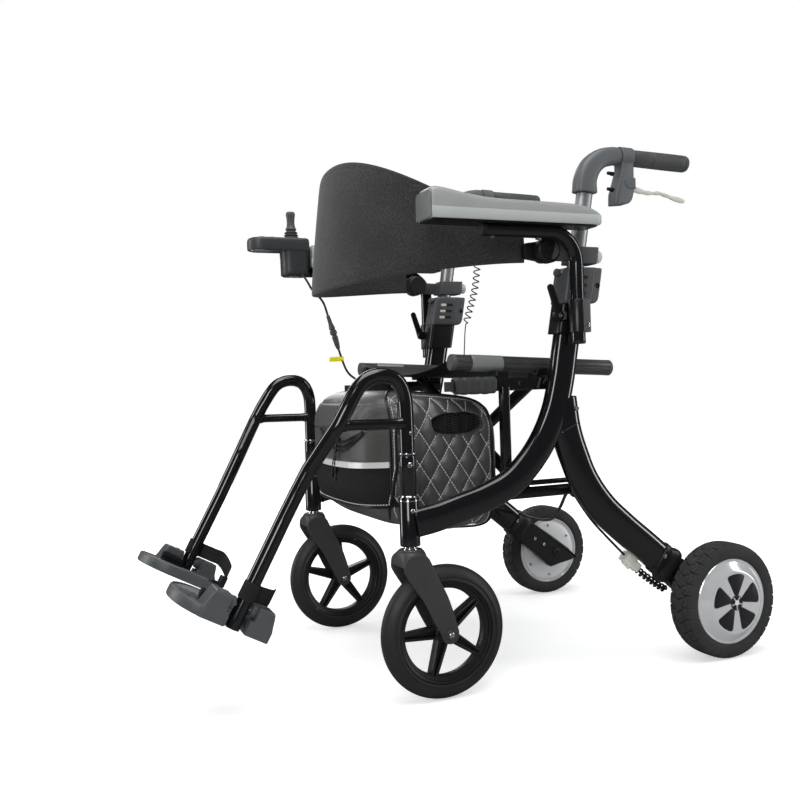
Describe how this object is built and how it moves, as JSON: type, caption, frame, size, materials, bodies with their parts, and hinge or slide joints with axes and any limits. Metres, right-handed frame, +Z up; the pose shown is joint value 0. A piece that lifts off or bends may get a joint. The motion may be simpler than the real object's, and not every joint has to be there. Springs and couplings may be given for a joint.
{
  "type": "all-terrain rollator",
  "caption": "Powered folding four-wheel rollator and transport chair with crossed bars, armrests, footrests, a storage bag and a joystick.",
  "frame": {"origin": "on the ground, under the middle of the bounding box", "axes": "+Z up, -Y towards the front casters and footrests, +X towards the passenger's left"},
  "size_m": [0.5918, 0.9806, 0.8725],
  "materials": {
    "black_paint": "gloss",
    "satin_black": "satin",
    "dark_plastic": "satin",
    "grey_plastic": "satin",
    "pale_plastic": "satin",
    "grey_metal": "satin",
    "bare_aluminium": "satin",
    "rubber": "matte",
    "tyre_rubber": "matte",
    "fabric": "matte"
  },
  "bodies": {
    "left_frame": {"left_side_frame": "black_paint", "left_motor_bracket": "satin_black", "left_clamp_housing": "dark_plastic", "left_armrest_bracket": "grey_plastic", "left_backrest_collar": "grey_plastic", "left_motor_cable": "rubber", "right_motor_cable": "rubber", "storage_bag": "fabric"},
    "cross_a": {"cross_bar_a": "black_paint", "right_seat_rail": "satin_black"},
    "cross_b": {"cross_bar_b": "black_paint", "left_seat_rail": "satin_black", "seat_sling": "fabric"},
    "right_frame": {"right_side_frame": "black_paint", "right_motor_bracket": "satin_black", "right_clamp_housing": "dark_plastic", "right_armrest_bracket": "grey_plastic", "right_backrest_collar": "grey_plastic", "curly_cable": "rubber"},
    "left_caster_swivel": {"left_caster_fork": "black_paint"},
    "left_caster_wheel": {"left_caster_rim": "dark_plastic", "left_caster_tyre": "tyre_rubber"},
    "left_drive_wheel": {"left_drive_hub": "bare_aluminium", "left_drive_tyre": "tyre_rubber"},
    "left_handle": {"left_handle_tube": "grey_metal", "left_handle_elbow": "dark_plastic", "left_grip": "rubber", "left_brake_housing": "dark_plastic"},
    "left_brake": {"left_brake_lever": "pale_plastic"},
    "left_armrest": {"left_armrest_tube": "grey_metal", "left_armrest_pad": "dark_plastic"},
    "left_armrest_clamp": {"left_armrest_lever": "satin_black"},
    "left_backrest": {"left_backrest_arm": "black_paint", "backrest_band": "fabric"},
    "left_hanger": {"left_footrest_hanger": "black_paint"},
    "left_plate": {"left_footplate": "grey_plastic", "left_heel_strap": "fabric"},
    "right_caster_swivel": {"right_caster_fork": "black_paint"},
    "right_caster_wheel": {"right_caster_rim": "dark_plastic", "right_caster_tyre": "tyre_rubber"},
    "right_drive_wheel": {"right_drive_hub": "bare_aluminium", "right_drive_tyre": "tyre_rubber"},
    "right_handle": {"right_handle_tube": "grey_metal", "right_handle_elbow": "dark_plastic", "right_grip": "rubber", "right_brake_housing": "dark_plastic"},
    "right_brake": {"right_brake_lever": "pale_plastic"},
    "right_armrest": {"right_armrest_tube": "grey_metal", "right_armrest_pad": "dark_plastic", "joystick_box": "dark_plastic", "joystick_cable": "rubber"},
    "right_armrest_clamp": {"right_armrest_lever": "satin_black"},
    "right_backrest": {"right_backrest_arm": "black_paint"},
    "right_hanger": {"right_footrest_hanger": "black_paint"},
    "right_plate": {"right_footplate": "grey_plastic", "right_heel_strap": "fabric"},
    "joystick_boot": {"joystick_boot": "rubber"},
    "joystick_stick": {"joystick_stick": "dark_plastic"}
  },
  "joints": [
    {"name": "fold", "type": "hinge", "parent": "left_frame", "child": "cross_a", "pos_m": [0.193, 0.084, 0.29], "axis": [0, 1, 0], "range_deg": [0, 48], "deforming": ["seat_sling", "storage_bag", "right_motor_cable", "backrest_band", "left_heel_strap", "right_heel_strap"]},
    {"name": "scissor", "type": "hinge", "parent": "cross_a", "child": "cross_b", "pos_m": [0, 0.087, 0.38983], "axis": [0, 1, 0], "range_deg": [-96, 0], "deforming": ["seat_sling"]},
    {"name": "right_link", "type": "hinge", "parent": "cross_b", "child": "right_frame", "pos_m": [-0.193, 0.084, 0.29], "axis": [0, 1, 0], "range_deg": [0, 48]},
    {"name": "left_caster_swivel", "type": "hinge", "parent": "left_frame", "child": "left_caster_swivel", "pos_m": [0.227, -0.15, 0.226], "axis": [0, 0, 1], "continuous": true},
    {"name": "left_caster_roll", "type": "hinge", "parent": "left_caster_swivel", "child": "left_caster_wheel", "pos_m": [0.227, -0.101, 0.1], "axis": [1, 0, 0], "continuous": true},
    {"name": "left_drive", "type": "hinge", "parent": "left_frame", "child": "left_drive_wheel", "pos_m": [0.2729, 0.3952, 0.0951], "axis": [1, 0, 0], "continuous": true},
    {"name": "left_handle_height", "type": "slide", "parent": "left_frame", "child": "left_handle", "axis": [0, 0.1822, 0.9833], "range_m": [0, 0.12]},
    {"name": "left_brake", "type": "hinge", "parent": "left_handle", "child": "left_brake", "pos_m": [0.233, 0.251, 0.783], "axis": [1, 0, 0], "range_deg": [0, 15], "stiffness_Nm_per_rad": 2},
    {"name": "left_armrest_height", "type": "slide", "parent": "left_frame", "child": "left_armrest", "axis": [0, 0, 1], "range_m": [0, 0.05]},
    {"name": "left_armrest_clamp", "type": "hinge", "parent": "left_frame", "child": "left_armrest_clamp", "pos_m": [0.252, 0.1025, 0.568], "axis": [1, 0, 0], "range_deg": [0, 90]},
    {"name": "left_backrest_flip", "type": "hinge", "parent": "left_frame", "child": "left_backrest", "pos_m": [0.233, 0.088, 0.669], "axis": [-1, 0, 0], "range_deg": [0, 170], "deforming": ["backrest_band"]},
    {"name": "left_hanger_swing", "type": "hinge", "parent": "left_frame", "child": "left_hanger", "pos_m": [0.227, -0.15, 0.305], "axis": [0, 0, 1], "range_deg": [0, 140]},
    {"name": "left_plate_flip", "type": "hinge", "parent": "left_hanger", "child": "left_plate", "pos_m": [0.20004, -0.39606, 0.16886], "axis": [0, 0.8753, -0.4836], "range_deg": [0, 85], "deforming": ["left_heel_strap"]},
    {"name": "right_caster_swivel", "type": "hinge", "parent": "right_frame", "child": "right_caster_swivel", "pos_m": [-0.227, -0.15, 0.226], "axis": [0, 0, 1], "continuous": true},
    {"name": "right_caster_roll", "type": "hinge", "parent": "right_caster_swivel", "child": "right_caster_wheel", "pos_m": [-0.227, -0.101, 0.1], "axis": [1, 0, 0], "continuous": true},
    {"name": "right_drive", "type": "hinge", "parent": "right_frame", "child": "right_drive_wheel", "pos_m": [-0.2729, 0.3952, 0.0951], "axis": [1, 0, 0], "continuous": true},
    {"name": "right_handle_height", "type": "slide", "parent": "right_frame", "child": "right_handle", "axis": [0, 0.1822, 0.9833], "range_m": [-0.03, 0.09], "deforming": ["curly_cable"]},
    {"name": "right_brake", "type": "hinge", "parent": "right_handle", "child": "right_brake", "pos_m": [-0.233, 0.25646, 0.8125], "axis": [1, 0, 0], "range_deg": [0, 15], "stiffness_Nm_per_rad": 2},
    {"name": "right_armrest_height", "type": "slide", "parent": "right_frame", "child": "right_armrest", "axis": [0, 0, 1], "range_m": [0, 0.05], "deforming": ["joystick_cable"]},
    {"name": "right_armrest_clamp", "type": "hinge", "parent": "right_frame", "child": "right_armrest_clamp", "pos_m": [-0.252, 0.1025, 0.568], "axis": [1, 0, 0], "range_deg": [0, 90]},
    {"name": "right_backrest_flip", "type": "hinge", "parent": "right_frame", "child": "right_backrest", "pos_m": [-0.233, 0.088, 0.669], "axis": [-1, 0, 0], "range_deg": [0, 170]},
    {"name": "right_hanger_swing", "type": "hinge", "parent": "right_frame", "child": "right_hanger", "pos_m": [-0.227, -0.15, 0.305], "axis": [0, 0, -1], "range_deg": [0, 140]},
    {"name": "right_plate_flip", "type": "hinge", "parent": "right_hanger", "child": "right_plate", "pos_m": [-0.20004, -0.39606, 0.16886], "axis": [0, -0.8753, 0.4836], "range_deg": [0, 85], "deforming": ["right_heel_strap"]},
    {"name": "joystick_pitch", "type": "hinge", "parent": "right_armrest", "child": "joystick_boot", "pos_m": [-0.27, -0.16301, 0.76], "axis": [1, 0, 0], "range_deg": [-15, 15], "stiffness_Nm_per_rad": 0.5, "deforming": ["joystick_boot"]},
    {"name": "joystick_roll", "type": "hinge", "parent": "joystick_boot", "child": "joystick_stick", "pos_m": [-0.27, -0.16301, 0.76], "axis": [0, 1, 0], "range_deg": [-15, 15], "stiffness_Nm_per_rad": 0.5, "deforming": ["joystick_boot"]}
  ],
  "couplings": [
    {"joint": "scissor", "follows": "fold", "ratio": -2},
    {"joint": "right_link", "follows": "fold", "ratio": 1},
    {"joint": "left_plate_flip", "follows": "fold", "ratio": 1.77},
    {"joint": "right_plate_flip", "follows": "fold", "ratio": 1.77},
    {"joint": "right_backrest_flip", "follows": "left_backrest_flip", "ratio": 1}
  ]
}
